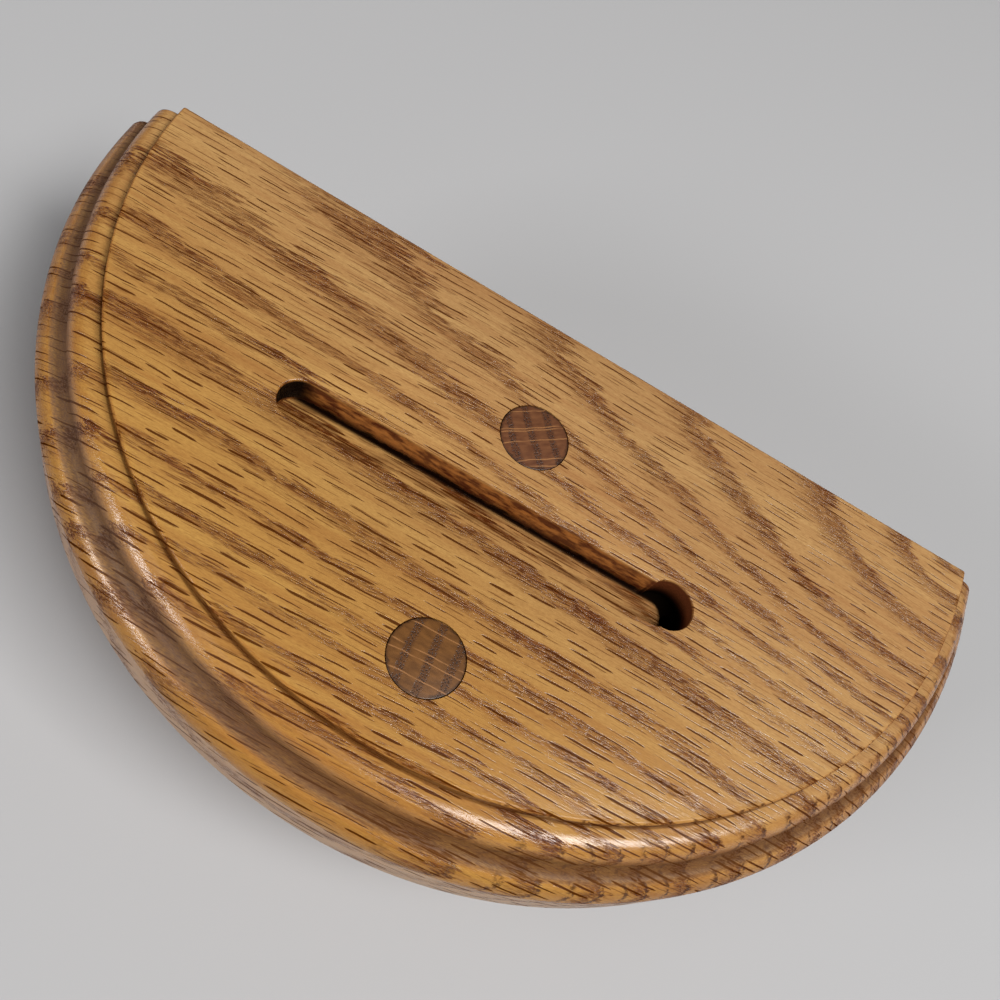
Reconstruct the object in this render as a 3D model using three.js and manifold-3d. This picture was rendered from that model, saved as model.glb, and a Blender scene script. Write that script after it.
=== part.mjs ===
// A half-round oak stand for a picture frame.
// Millimetres. X runs along the straight back edge, Y from the curved front to the back, and Z up.
// The origin is the middle of the plan, at the surface that the stand rests on.

import * as THREE from 'three';
import { mergeVertices } from 'three/addons/utils/BufferGeometryUtils.js';
import Module from 'manifold-3d';

const wasm = await Module();
wasm.setup();

// Top board
const boardRadius = 75; // from the middle of the back edge to the outside of the lip
const boardThickness = 19;
const bottomEase = 0.5; // chamfer round the underside
const faceEase = 0.3; // chamfer round the top face

// Moulding on the curved edge, from the top face outwards
const stepDrop = 2; // upright step at the rim of the top face
const ledgeWidth = 1.1; // flat at the foot of the step
const beadRadius = 3;
const coveRadius = 2.5;
const lipWidth = 1.4; // how far the lip stands out past the cove
const lipDrop = 4.5; // from the crest of the lip down to the arris of the upright side
const lipLean = 13; // degrees that the face of the lip leans back

// Slot for the frame, cut parallel to the back edge
const slotLength = 59.5;
const slotWidth = 6;
const slotDepth = 5;
const slotSetback = 32.3; // from the back edge to the slot's centre line
const slotShift = -4.2; // middle of the slot, measured from the middle of the board

// The right-hand end of the slot is opened out by a larger drill and a deep starter hole
const endBoreDiameter = 7;
const endBoreAlong = 1.6; // past the centre of the slot's round end
const endBoreBack = 0.8; // towards the back edge
const starterDiameter = 2.4;
const starterDepth = 13;
const starterWall = 0.1; // between the starter hole and the side of the end bore

// Plugged screw holes, on one line from back to front
const plugLineShift = -2; // from the middle of the board
const rearPlugSetback = 19; // from the back edge
const frontPlugSetback = 54.5;
const plugDiameter = 9.5;
const plugHoleDepth = 7;
const plugEase = 0.5; // chamfer at the plug's lower end

// Countersunk wood screws
const screwShankDiameter = 4.2;
const screwHeadDiameter = 8;
const screwHeadRim = 0.4; // upright rim of the head
const screwHeadCone = 1.9; // height of the countersunk part
const screwBite = 13; // length held by the foot block
const screwPoint = 3; // length of the pointed end
const driveWidth = 2.8; // square recess in the head
const driveDepth = 1.8;

// Foot block
const footReveal = 12; // how far the lip stands out past the foot block at the front
const footBackInset = 3; // how far the foot block is set in from the back edge
const footThickness = 19;
const footEase = 2; // chamfer round the foot block's lower edge

// Felt pads
const padDiameter = 14;
const padThickness = 2.5;
const padEdge = 8; // from the rim of the foot block to the near side of a pad

// Clearances
const glueLine = 0.1; // between faces that are glued together
const looseFit = 0.3; // round a plug and a screw

// Fineness of round forms
const boardSegments = 120;
const footSegments = 96;
const roundSegments = 32;
const arcDivisions = 4;

// Levels and places that follow from the sizes above
const backY = boardRadius / 2;
const footBottom = padThickness + glueLine;
const footTop = footBottom + footThickness;
const boardBottom = footTop + glueLine;
const boardTop = boardBottom + boardThickness;
const footRadius = boardRadius - footReveal - footBackInset;
const footBackY = backY - footBackInset;
const screwHeadTop = boardTop - plugHoleDepth;

const oak = new THREE.MeshStandardMaterial({ color: 0xbe8c50, roughness: 0.4, metalness: 0 });
const endGrainOak = new THREE.MeshStandardMaterial({ color: 0x7d5632, roughness: 0.45, metalness: 0 });
const steel = new THREE.MeshStandardMaterial({ color: 0xb9b9b4, roughness: 0.35, metalness: 1 });
const felt = new THREE.MeshStandardMaterial({ color: 0x3a332c, roughness: 0.95, metalness: 0 });

// A closed three.js geometry as a solid that can be cut
function solidFrom(geometry) {
  const bare = geometry.clone();
  bare.deleteAttribute('normal');
  bare.deleteAttribute('uv');
  const merged = mergeVertices(bare);
  const triVerts = [];
  const index = merged.index.array;
  for (let i = 0; i < index.length; i += 3) {
    const [a, b, c] = index.slice(i, i + 3);
    const hasArea = a !== b && b !== c && c !== a;
    if (hasArea) triVerts.push(a, b, c);
  }
  const faces = {
    numProp: 3,
    vertProperties: new Float32Array(merged.attributes.position.array),
    triVerts: new Uint32Array(triVerts),
  };
  return new wasm.Manifold(new wasm.Mesh(faces));
}

function meshFrom(name, solid, material) {
  const { vertProperties, triVerts } = solid.getMesh();
  const geometry = new THREE.BufferGeometry();
  geometry.setAttribute('position', new THREE.BufferAttribute(vertProperties, 3));
  geometry.setIndex(new THREE.BufferAttribute(triVerts, 1));
  geometry.computeVertexNormals();
  const mesh = new THREE.Mesh(geometry, material);
  mesh.name = name;
  return mesh;
}

// Turns a profile of (radius, height) points round the Z axis. The points run from the bottom to the top.
function turned(points, segments) {
  return new THREE.LatheGeometry(points, segments).rotateX(Math.PI / 2);
}

function pointsFrom(pairs) {
  return pairs.map(([x, y]) => new THREE.Vector2(x, y));
}

// Keeps the front half of a turned disc, with the long edges of its flat back chamfered
function frontHalf(disc, radius, thickness, lowerEase, upperEase) {
  const margin = 1;
  const side = radius + margin;
  const section = new THREE.Shape(pointsFrom([
    [-side, -margin], [-lowerEase - margin, -margin], [0, lowerEase],
    [0, thickness - upperEase], [-upperEase - margin, thickness + margin], [-side, thickness + margin],
  ]));
  const kept = new THREE.ExtrudeGeometry(section, { depth: 2 * side, bevelEnabled: false });
  kept.rotateX(Math.PI / 2).rotateZ(Math.PI / 2).translate(-side, 0, 0);
  return solidFrom(disc).intersect(solidFrom(kept));
}

function drill(diameter, bottom, top) {
  const points = pointsFrom([[0, bottom], [diameter / 2, bottom], [diameter / 2, top], [0, top]]);
  return turned(points, roundSegments);
}

// Edge of the board, from the middle of the underside round the moulding to the middle of the top face
function boardProfile() {
  const lipFoot = boardThickness - stepDrop - beadRadius - coveRadius - lipDrop;
  const lipTop = lipFoot + lipDrop;
  const coveX = boardRadius - lipWidth;
  const beadX = coveX - coveRadius - beadRadius;
  const beadY = lipTop + coveRadius;
  const faceRadius = beadX - ledgeWidth;
  // The crest is the round that runs level into the cove and in line into the leaning face
  const lean = THREE.MathUtils.degToRad(lipLean);
  const crestSpan = Math.cos(lean) - (1 - Math.sin(lean)) * Math.tan(lean);
  const crestRadius = (lipWidth - lipDrop * Math.tan(lean)) / crestSpan;
  const profile = new THREE.Path();
  profile.moveTo(0, 0);
  profile.lineTo(boardRadius - bottomEase, 0);
  profile.lineTo(boardRadius, bottomEase);
  profile.lineTo(boardRadius, lipFoot);
  profile.absarc(coveX, lipTop - crestRadius, crestRadius, lean, Math.PI / 2, false);
  profile.absarc(coveX, beadY, coveRadius, -Math.PI / 2, -Math.PI, true);
  profile.absarc(beadX, beadY, beadRadius, 0, Math.PI / 2, false);
  profile.lineTo(faceRadius, boardThickness - stepDrop);
  profile.lineTo(faceRadius, boardThickness - faceEase);
  profile.lineTo(faceRadius - faceEase, boardThickness);
  profile.lineTo(0, boardThickness);
  return profile.getPoints(arcDivisions);
}

function obround(length, width) {
  const radius = width / 2;
  const half = length / 2 - radius;
  const shape = new THREE.Shape();
  shape.absarc(half, 0, radius, -Math.PI / 2, Math.PI / 2, false);
  shape.absarc(-half, 0, radius, Math.PI / 2, 1.5 * Math.PI, false);
  shape.closePath();
  return shape;
}

// The tool path of the slot, with its opened end and starter hole, in board coordinates
function slotCutter() {
  const above = boardThickness + 1;
  const floor = boardThickness - slotDepth;
  const depth = above - floor;
  const settings = { depth, bevelEnabled: false, curveSegments: roundSegments / 4 };
  const groove = new THREE.ExtrudeGeometry(obround(slotLength, slotWidth), settings);
  groove.translate(slotShift, -slotSetback, floor);
  const boreX = slotShift + slotLength / 2 - slotWidth / 2 + endBoreAlong;
  const boreY = -slotSetback + endBoreBack;
  const bore = drill(endBoreDiameter, floor, above).translate(boreX, boreY, 0);
  const starterX = boreX + (endBoreDiameter - starterDiameter) / 2 - starterWall;
  const starter = drill(starterDiameter, boardThickness - starterDepth, above);
  starter.translate(starterX, boreY, 0);
  return solidFrom(groove).add(solidFrom(bore)).add(solidFrom(starter));
}

// Counterbore for the plug, countersink for the screw head and clearance hole for the shank
function plugHoleCutter(setback) {
  const plugHole = plugDiameter / 2 + looseFit;
  const head = screwHeadDiameter / 2 + looseFit;
  const shank = screwShankDiameter / 2 + looseFit;
  const seat = boardThickness - plugHoleDepth - looseFit;
  const coneTop = seat - screwHeadRim;
  const below = -1;
  const above = boardThickness + 1;
  const outline = [
    [0, below], [shank, below], [shank, coneTop - screwHeadCone], [head, coneTop], [head, seat],
    [plugHole, seat], [plugHole, above], [0, above],
  ];
  return solidFrom(turned(pointsFrom(outline), roundSegments).translate(plugLineShift, -setback, 0));
}

function topBoard() {
  const disc = turned(boardProfile(), boardSegments);
  let board = frontHalf(disc, boardRadius, boardThickness, bottomEase, faceEase);
  board = board.subtract(slotCutter());
  board = board.subtract(plugHoleCutter(rearPlugSetback));
  board = board.subtract(plugHoleCutter(frontPlugSetback));
  const mesh = meshFrom('top_board', board, oak);
  mesh.position.set(0, backY, boardBottom);
  return mesh;
}

// Short cross-cut plug, flush with the top face, with its end grain up
function plug(name, setback) {
  const radius = plugDiameter / 2;
  const bottom = boardTop - plugHoleDepth + looseFit;
  const outline = [
    [0, bottom], [radius - plugEase, bottom], [radius, bottom + plugEase],
    [radius, boardTop], [0, boardTop],
  ];
  const mesh = meshFrom(name, solidFrom(turned(pointsFrom(outline), roundSegments)), endGrainOak);
  mesh.position.set(plugLineShift, backY - setback, 0);
  return mesh;
}

// Countersunk screw with a square drive. It holds the foot block under the board.
function screw(name, setback) {
  const head = screwHeadDiameter / 2;
  const shank = screwShankDiameter / 2;
  const tip = footTop - screwBite;
  const coneTop = screwHeadTop - screwHeadRim;
  const outline = [
    [0, tip], [shank, tip + screwPoint], [shank, coneTop - screwHeadCone], [head, coneTop],
    [head, screwHeadTop], [0, screwHeadTop],
  ];
  const body = solidFrom(turned(pointsFrom(outline), roundSegments));
  const recess = new THREE.BoxGeometry(driveWidth, driveWidth, 2 * driveDepth);
  recess.translate(0, 0, screwHeadTop);
  const mesh = meshFrom(name, body.subtract(solidFrom(recess)), steel);
  mesh.position.set(plugLineShift, backY - setback, 0);
  return mesh;
}

function footBlock() {
  const outline = [
    [0, 0], [footRadius - footEase, 0], [footRadius, footEase],
    [footRadius, footThickness], [0, footThickness],
  ];
  const disc = turned(pointsFrom(outline), footSegments);
  let block = frontHalf(disc, footRadius, footThickness, footEase, 0);
  const pilotBottom = footThickness - screwBite - looseFit;
  for (const setback of [rearPlugSetback, frontPlugSetback]) {
    const pilot = drill(screwShankDiameter + 2 * looseFit, pilotBottom, footThickness + 1);
    pilot.translate(plugLineShift, footBackInset - setback, 0);
    block = block.subtract(solidFrom(pilot));
  }
  const mesh = meshFrom('foot_block', block, oak);
  mesh.position.set(0, footBackY, footBottom);
  return mesh;
}

function pad(name, x, y) {
  const mesh = meshFrom(name, solidFrom(drill(padDiameter, 0, padThickness)), felt);
  mesh.position.set(x, y, 0);
  return mesh;
}

// Three pads: one near each back corner of the foot block and one at its front
function pads() {
  const reach = footRadius - padEdge - padDiameter / 2;
  const inset = padEdge + padDiameter / 2;
  const side = Math.sqrt(reach ** 2 - inset ** 2);
  return [
    pad('pad_left', -side, footBackY - inset),
    pad('pad_right', side, footBackY - inset),
    pad('pad_front', 0, footBackY - reach),
  ];
}

const group = new THREE.Group();
group.add(
  topBoard(),
  plug('plug_rear', rearPlugSetback),
  plug('plug_front', frontPlugSetback),
  screw('screw_rear', rearPlugSetback),
  screw('screw_front', frontPlugSetback),
  footBlock(),
  ...pads(),
);

export default group;
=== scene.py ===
# %% [markdown]
# # A half-round oak stand for a picture frame
# The real thing is a small board of 3/4 inch red oak, cut as a half circle. A router has run round
# its curved edge, a slot in the top holds a picture frame upright, and two plugs hide the screws
# that go down into a foot block underneath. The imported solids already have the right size. This lesson
# dresses them: finer shapes where light would show a facet, and wood, steel and felt made of nodes.

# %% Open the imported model
import math
from types import SimpleNamespace

import bmesh
import bpy
from mathutils import Matrix, Vector


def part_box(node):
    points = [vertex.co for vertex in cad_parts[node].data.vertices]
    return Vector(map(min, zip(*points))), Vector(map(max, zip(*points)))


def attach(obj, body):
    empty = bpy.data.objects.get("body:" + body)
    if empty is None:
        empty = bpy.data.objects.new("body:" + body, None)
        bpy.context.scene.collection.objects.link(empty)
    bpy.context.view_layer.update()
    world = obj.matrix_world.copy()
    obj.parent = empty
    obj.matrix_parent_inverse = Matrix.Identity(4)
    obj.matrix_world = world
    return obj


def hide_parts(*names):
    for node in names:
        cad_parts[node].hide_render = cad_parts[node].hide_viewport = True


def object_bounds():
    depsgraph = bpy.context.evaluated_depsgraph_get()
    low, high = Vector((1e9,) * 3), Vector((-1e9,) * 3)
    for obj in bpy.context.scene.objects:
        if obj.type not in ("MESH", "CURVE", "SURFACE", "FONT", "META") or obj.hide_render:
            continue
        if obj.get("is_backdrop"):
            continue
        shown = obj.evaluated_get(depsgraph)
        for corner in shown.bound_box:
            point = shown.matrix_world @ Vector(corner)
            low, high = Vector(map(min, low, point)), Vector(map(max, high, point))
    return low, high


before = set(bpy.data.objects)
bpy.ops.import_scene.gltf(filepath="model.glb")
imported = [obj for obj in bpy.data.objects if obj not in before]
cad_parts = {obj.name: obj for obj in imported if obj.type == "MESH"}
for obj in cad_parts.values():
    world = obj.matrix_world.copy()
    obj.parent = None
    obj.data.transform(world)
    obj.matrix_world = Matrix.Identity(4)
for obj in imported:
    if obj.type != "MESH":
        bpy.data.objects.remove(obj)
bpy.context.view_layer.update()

# %% [markdown]
# ## The camera
# The photograph was taken from about 15 cm above the table, so close that the near edge swells and
# the far corner shrinks. A camera could be aimed by eye with a Track To constraint. Here its place
# and its three axes come from matching points that were measured on the board's edges, slot and
# plugs, because a close view shows every degree of error.

# %% Set up the camera
camera_place = (-0.015532, -0.060835, 0.151593)
camera_right = Vector((0.8637, 0.37815, 0.3332))
camera_up = Vector((-0.49399, 0.76632, 0.41077))
camera_back = camera_right.cross(camera_up)

lens = bpy.data.cameras.new("camera")
lens.sensor_width, lens.lens = 36, 36
lens.clip_start, lens.clip_end = 0.002, 20
camera = bpy.data.objects.new("camera", lens)
bpy.context.scene.collection.objects.link(camera)
turn = Matrix((camera_right, camera_up, camera_back)).transposed().to_4x4()
camera.matrix_world = Matrix.Translation(camera_place) @ turn
bpy.context.scene.camera = camera
bpy.context.scene.view_settings.view_transform = "Standard"
print("the camera looks along", [round(c, 2) for c in -camera_back])

# %% [markdown]
# ## The light
# A satin varnish is read by its highlights. The photograph has one broad white streak on the front
# of the bead and two narrow ones at the left, on the bead and on the lip. Each streak lies where
# the surface faces halfway between the camera and its lamp, which gives the directions of a high
# window at the right and of a low one at the left. Area lamps make such streaks, where a sun lamp
# would make dots. A faint panel above and the grey world fill the shadows, and all together light a
# white card to white.

# %% Hang the lamps
def hang_lamp(name, direction, distance, width, height, power, tint):
    """A rectangle of light that faces the stand from a direction. Metres and watts."""
    lamp = bpy.data.lights.new(name, "AREA")
    lamp.shape, lamp.size, lamp.size_y = "RECTANGLE", width, height
    lamp.energy, lamp.color = power, tint
    holder = bpy.data.objects.new(name, lamp)
    bpy.context.scene.collection.objects.link(holder)
    holder.location = Vector(direction).normalized() * distance
    holder.rotation_mode = "QUATERNION"
    holder.rotation_quaternion = Vector(direction).to_track_quat("Z", "Y")


hang_lamp("window_right", (0.46, -0.23, 0.86), 1.4, 0.82, 0.54, 20.0, (1.0, 0.99, 0.975))
hang_lamp("window_left", (-0.7, -0.62, 0.345), 2.2, 0.82, 0.45, 22.0, (0.97, 0.98, 1.0))
hang_lamp("panel_above", (-0.35, -0.3, 0.89), 2.0, 1.2, 1.2, 2.8, (1.0, 1.0, 1.0))

# %% [markdown]
# ## The room
# The world is nearly dark, because the lamps do the lighting. Seen past the edge of the floor it
# would look like night, so the camera alone finds a pale wall there: Light Path tells a ray that
# comes straight from the camera from one that has met the object.

# %% Paint the room
fill_strength, wall_strength = 0.08, 0.52
world = bpy.data.worlds.new("room")
bpy.context.scene.world = world
world.use_nodes = True
background = world.node_tree.nodes["Background"]
background.inputs["Color"].default_value = (0.96, 0.98, 1.0, 1)
ray_kind = world.node_tree.nodes.new("ShaderNodeLightPath")
strength = world.node_tree.nodes.new("ShaderNodeMath")
strength.operation = "MULTIPLY_ADD"
strength.inputs[1].default_value = wall_strength - fill_strength
strength.inputs[2].default_value = fill_strength
world.node_tree.links.new(ray_kind.outputs["Is Camera Ray"], strength.inputs[0])
world.node_tree.links.new(strength.outputs[0], background.inputs["Strength"])
print("the room lights at", fill_strength, "and shows at", wall_strength)

# %% [markdown]
# ## Sizes to share
# The finish has to know where the slot and the moulding are, and the meshes are cut from the same
# numbers, so both read them here, in millimetres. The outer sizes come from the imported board.
# Typing them twice would let the stain drift off the shape.

# %% Name the sizes
board_low, board_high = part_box("top_board")
board_radius, back_edge, top_face = (round(1000 * s, 3) for s in board_high)
board_bottom = round(1000 * board_low.z, 3)
board_thickness = round(top_face - board_bottom, 3)
slot_middle, slot_length, slot_width, slot_floor = (-4.2, 5.2), 59.5, 6, 35.7
bore_middle, bore_radius = (24.15, 6.0), 3.5
starter_middle, starter_radius, starter_floor = (26.35, 6.0), 1.2, 27.7
step_radius = 67
hollow_middle, hollow_width, hollow_depth = 73.1, 2.0, 2.1
hollow_start = hollow_middle - hollow_width
plug_places = {"rear": (-2, 18.5), "front": (-2, -17)}
print("the board has a radius of", board_radius, "mm and is", board_thickness, "mm thick")

# %% [markdown]
# ## A way to write shaders as sums
# A wood grain is a page of arithmetic, and wiring it by hand hides what it says. This small class
# wraps a socket, so that `1 - band * 0.4` adds the Math nodes by itself. Everything else, such as a
# noise, a ramp or a mix of colours, comes from its one method, `node`.

# %% The Wire class
class Wire:
    """One value on its way from node to node."""

    def __init__(self, socket):
        self.socket = socket

    def node(self, kind, settings=None, inputs=None, output=0):
        """Adds a node: its settings first, then the values or wires that go into it."""
        tree = self.socket.id_data
        made = tree.nodes.new(kind)
        for name, value in (settings or {}).items():
            if name == "stops":
                ramp = made.color_ramp
                while len(ramp.elements) < len(value):
                    ramp.elements.new(0.5)
                for stop, (place, level) in zip(ramp.elements, value):
                    stop.position = place
                    stop.color = (level, level, level, 1)
            else:
                setattr(made, name, value)
        for name, value in (inputs or {}).items():
            if isinstance(value, Wire):
                tree.links.new(value.socket, made.inputs[name])
            else:
                made.inputs[name].default_value = value
        return Wire(made.outputs[output])

    def out(self, name):
        """Another output of the same node."""
        return Wire(self.socket.node.outputs[name])

    def sum(self, operation, *values):
        return self.node("ShaderNodeMath", {"operation": operation}, dict(enumerate(values)))

    def __add__(self, other):
        return self.sum("ADD", self, other)

    def __sub__(self, other):
        return self.sum("SUBTRACT", self, other)

    def __rsub__(self, other):
        return self.sum("SUBTRACT", other, self)

    def __mul__(self, other):
        return self.sum("MULTIPLY", self, other)

    def __truediv__(self, other):
        return self.sum("DIVIDE", self, other)

    def __rtruediv__(self, other):
        return self.sum("DIVIDE", other, self)

    def __pow__(self, other):
        return self.sum("POWER", self, other)

    def __rpow__(self, other):
        return self.sum("POWER", other, self)

    __radd__, __rmul__ = __add__, __mul__

    def rise(self, start, end, low=0.0, high=1.0):
        """Goes softly from low to high while the value goes from start to end."""
        ends = {"Value": self, "From Min": start, "From Max": end, "To Min": low, "To Max": high}
        return self.node("ShaderNodeMapRange", {"interpolation_type": "SMOOTHSTEP"}, ends)


def start_finish(name):
    """A new material: its Principled node, and the place on the piece in millimetres."""
    finish = bpy.data.materials.new(name)
    finish.use_nodes = True
    shader = finish.node_tree.nodes["Principled BSDF"]
    place = Wire(finish.node_tree.nodes.new("ShaderNodeTexCoord").outputs["Object"])
    place = place.node("ShaderNodeVectorMath", {"operation": "SCALE"}, {0: place, "Scale": 1000})
    return finish, shader, place


def join(shader, socket, wire):
    shader.id_data.links.new(wire.socket, shader.inputs[socket])


print("Wire is ready")

# %% [markdown]
# ## Sums that come back often
# Masks are values from 0 to 1 that say where something is, and most are made by these few helpers.
# A Clamp node or a Map Range could be wired each time, but a name says what it is for.

# %% Masks
def clear(value):
    """Keeps a value between 0 and 1."""
    return value.node("ShaderNodeClamp", {}, {0: value})


def size_of(value):
    return value.sum("ABSOLUTE", value)


def whole(value):
    return value.sum("FLOOR", value)


def fraction(value):
    return value.sum("FRACT", value)


def between(value, start, end, soft):
    """1 between start and end, 0 outside, with soft sides."""
    return value.rise(start - soft, start + soft) * value.rise(end - soft, end + soft, 1.0, 0.0)


def joined(x, y, z):
    return x.node("ShaderNodeCombineXYZ", {}, {0: x, 1: y, 2: z})


print("masks are ready")

# %% [markdown]
# ## Patterns that every wood here uses
# Wood is solid, so its grain is worked out at each point in space, and a line that runs off the top
# goes on down the moulding as it does in the real board. An image wrapped round the part would
# smear there. Two patterns do it all: a soft noise that is stretched along the fibres, and rows of
# short dashes, where a white noise gives each dash its own place, length and width. A Voronoi
# texture has cells too, but they don't keep to rows.

# %% Noise and dashes
def stretched(place, x, y, z):
    """Shrinks a place by these lengths in millimetres, so a pattern comes out that big."""
    return place.node("ShaderNodeVectorMath", {"operation": "DIVIDE"}, {0: place, 1: (x, y, z)})


def noise(place, detail=2.0):
    """A soft random value from -0.5 to 0.5."""
    made = place.node("ShaderNodeTexNoise", {}, {"Vector": place, "Scale": 1.0, "Detail": detail})
    return made - 0.5


def dashes(along, across, length, pitch, half_width, seed):
    """Dashes in rows, 1 inside and 0 outside. All lengths are in millimetres."""
    row = across / pitch + seed
    row_number = whole(row)
    shift = row.node("ShaderNodeTexWhiteNoise", {"noise_dimensions": "1D"}, {"W": row_number})
    cell = along / length + shift * 5
    cell_number = joined(whole(cell), row_number, 0.0)
    random = {"noise_dimensions": "2D"}
    own = cell.node("ShaderNodeTexWhiteNoise", random, {"Vector": cell_number}, "Color")
    own = own.node("ShaderNodeSeparateColor", {}, {0: own})
    lengthwise = size_of(fraction(cell) - 0.5) / (0.16 + own * 0.28)
    sideways = size_of(fraction(row) - 0.3 - own.out("Green") * 0.4) * pitch
    width = (1 - lengthwise**6) * (0.6 + own.out("Blue") * 0.8) * half_width
    soft_edge = 0.06
    return clear((width - sideways) / soft_edge)


print("noise and dashes are ready")

# %% [markdown]
# ## Colours
# Blender's colour sockets hold amounts of light, and a painter's 0 to 255 isn't that: half of 255
# is a fifth of the light. So colours are written as they look on a screen and turned once, here.

# %% Colours and their mixes
def colour(red, green, blue):
    """A colour as it looks, 0 to 255, turned into the amounts of light that a shader wants."""
    level = [c / 255 for c in (red, green, blue)]
    return tuple(c / 12.92 if c < 0.04045 else ((c + 0.055) / 1.055) ** 2.4 for c in level) + (1.0,)


def blend(part, first, second, how="MIX"):
    """first where part is 0, second where it is 1."""
    start = part if isinstance(part, Wire) else first
    settings = {"data_type": "RGBA", "blend_type": how, "clamp_factor": True}
    return start.node("ShaderNodeMix", settings, {0: part, 6: first, 7: second}, output=2)


print("gold is", [round(c, 2) for c in colour(190, 140, 80)])

# %% [markdown]
# ## Red oak
# The board is flat-sawn. On its top the year rings show as bands of open pores that fall steeply
# from the back edge and then flatten out towards the front, so the heart of the tree lay near the
# right back corner and sank to the left. The rings are the distance from that heart line, and a
# ramp gives each year its own width, as good and bad summers do. Rays are the dark spindles, 3 to
# 8 mm long, which stand on edge through the wood. Both are 3-D, so the moulding cuts through them.

# %% Where the rings and rays are
year_radii = (5, 12.5, 20, 25.2, 29, 32.5, 36.5, 40.3, 43.8, 51, 56, 60, 63.5, 67, 70.5, 74, 77.5, 81)


def year_at(from_heart):
    """The year of growth. Its fraction goes from 0 in spring to 1 in autumn."""
    stops = [(r / 100, (n + 1) / 20) for n, r in enumerate(year_radii)]
    stops = [(0, 0)] + stops + [(1, 1)]
    return from_heart.node("ShaderNodeValToRGB", {"stops": stops}, {0: from_heart / 100}) * 20


class Oak(SimpleNamespace):
    """What is known of the wood at one place. Its colour is built up in layers."""

    def paint(self, part, tone, how="MIX"):
        self.tone = blend(part, self.tone, tone, how)


def grain(place, lean):
    """The wood's own lines at a place. lean is how much the rings slope down into the board."""
    x = place.node("ShaderNodeSeparateXYZ", {}, {0: place})
    across, depth = back_edge - x.out("Y"), top_face - x.out("Z")
    fibre = across * (1 + depth / 120) - x * x * 0.0003 + noise(stretched(place, 34, 11, 14)) * 1.8
    fibre = fibre + noise(stretched(place, 3.5, 0.9, 0.9)) * 0.22
    along = joined(x, fibre, depth)
    wander = noise(stretched(place, 42, 13, 16)) * 3.0
    ragged = noise(stretched(along, 8, 0.7, 0.9), 2.5) * 3.0
    ragged = ragged + noise(stretched(along, 6, 0.24, 0.3), 1.0) * 1.6
    heart = 33 - 33 * math.e ** ((x - 65) / 45)
    from_heart = (across**2 + heart**2) ** 0.5 - depth * x.rise(-60, 30, 0.2, lean) + wander
    return Oak(
        place=place,
        x=x,
        across=across,
        depth=depth,
        along=along,
        season=fraction(year_at(from_heart + ragged)),
        ring=fraction(year_at(from_heart + ragged * 0.15) * 2),
        rays=dashes(x, fibre, 9.5, 1.3, across.rise(0, 60, 0.1, 0.15), 40.3),
        fine_rays=dashes(x + 4.7, fibre, 7, 0.95, 0.08, 77.7),
    )


print("the oak has", len(year_radii), "years in", year_radii[-1], "mm")

# %% [markdown]
# ## The stain
# A golden stain is drunk by whatever is open. It leaves the hard summer wood pale, and darkens the
# pores, the rays and the sawn ends of the fibres. The layers go on from the palest to the darkest,
# as a polisher would tone them, but one broad tint over the top is painted sheen. One colour ramp
# over a single noise would be shorter, but then the rays would change with the rings, which they
# don't. The normal tells which way a surface faces: across the fibres, or along the quarter-sawn
# back, where rays show as faint flecks.

# %% Stain the wood
def stain(oak):
    facing = oak.place.node("ShaderNodeTexCoord", {}, {}, output="Normal")
    oak.facing = facing.node("ShaderNodeSeparateXYZ", {}, {0: facing})
    end_grain = size_of(oak.facing).rise(0.2, 0.95)
    oak.worked = oak.facing.out("Z").rise(0.999, 0.9)
    oak.ahead = oak.facing.out("Y").rise(0.9, 0.4)
    oak.rays = oak.rays * (oak.ahead * 0.85 + 0.15)
    oak.fine_rays = oak.fine_rays * (oak.ahead * 0.7 + 0.3)

    streak = noise(stretched(oak.along, 60, 1.3, 1.8), 3.0)
    streak = streak + noise(stretched(oak.place, 70, 15, 16)) * 0.9
    oak.fine = noise(stretched(oak.along, 6, 0.22, 0.25), 3.0)
    oak.speck = noise(stretched(oak.along, 0.7, 0.15, 0.15), 2.0)
    strength = noise(stretched(oak.along, 30, 5, 8)) * 1.6 + 0.85
    porous = oak.season.rise(0.0, 0.1) * oak.season.rise(0.14, 0.55, 1.0, 0.0) * strength
    oak.pores = noise(stretched(oak.along, 1.5, 0.19, 0.19), 2.0).rise(-0.04, 0.1) * porous

    painted_sheen_tint = (oak.across * 1.6 - oak.x * 0.6).rise(20, 105)
    oak.tone = blend(streak * 1.6 + 0.5, colour(171, 123, 76), colour(199, 157, 101))
    # Painted light: a broad tint, warmer and more golden towards the front and left, stands in for how the
    # sheen greys the top unevenly.
    oak.paint(painted_sheen_tint * 0.6, colour(255, 243, 160), "MULTIPLY")
    oak.paint(oak.fine.rise(0.02, 0.25) * 0.3 + 0.1 - oak.speck * 0.9, colour(124, 76, 34))
    oak.paint(porous * (oak.fine * 2.2 + 0.7), colour(118, 66, 28))
    oak.paint(oak.pores * 0.85, colour(80, 36, 8))
    oak.paint(oak.fine_rays * 0.65, colour(98, 52, 14))
    oak.paint(oak.rays * 0.95, colour(80, 38, 3))
    oak.paint(end_grain * 0.52, colour(200, 156, 114), "MULTIPLY")
    oak.paint(oak.worked * 0.35, colour(232, 208, 160), "MULTIPLY")
    oak.rough = 0.2 + oak.pores * 0.16 + oak.rays * 0.12 + oak.fine * 0.12
    oak.dry = oak.rays * 0.7 + oak.pores * 0.5


print("the stain is ready")

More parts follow.
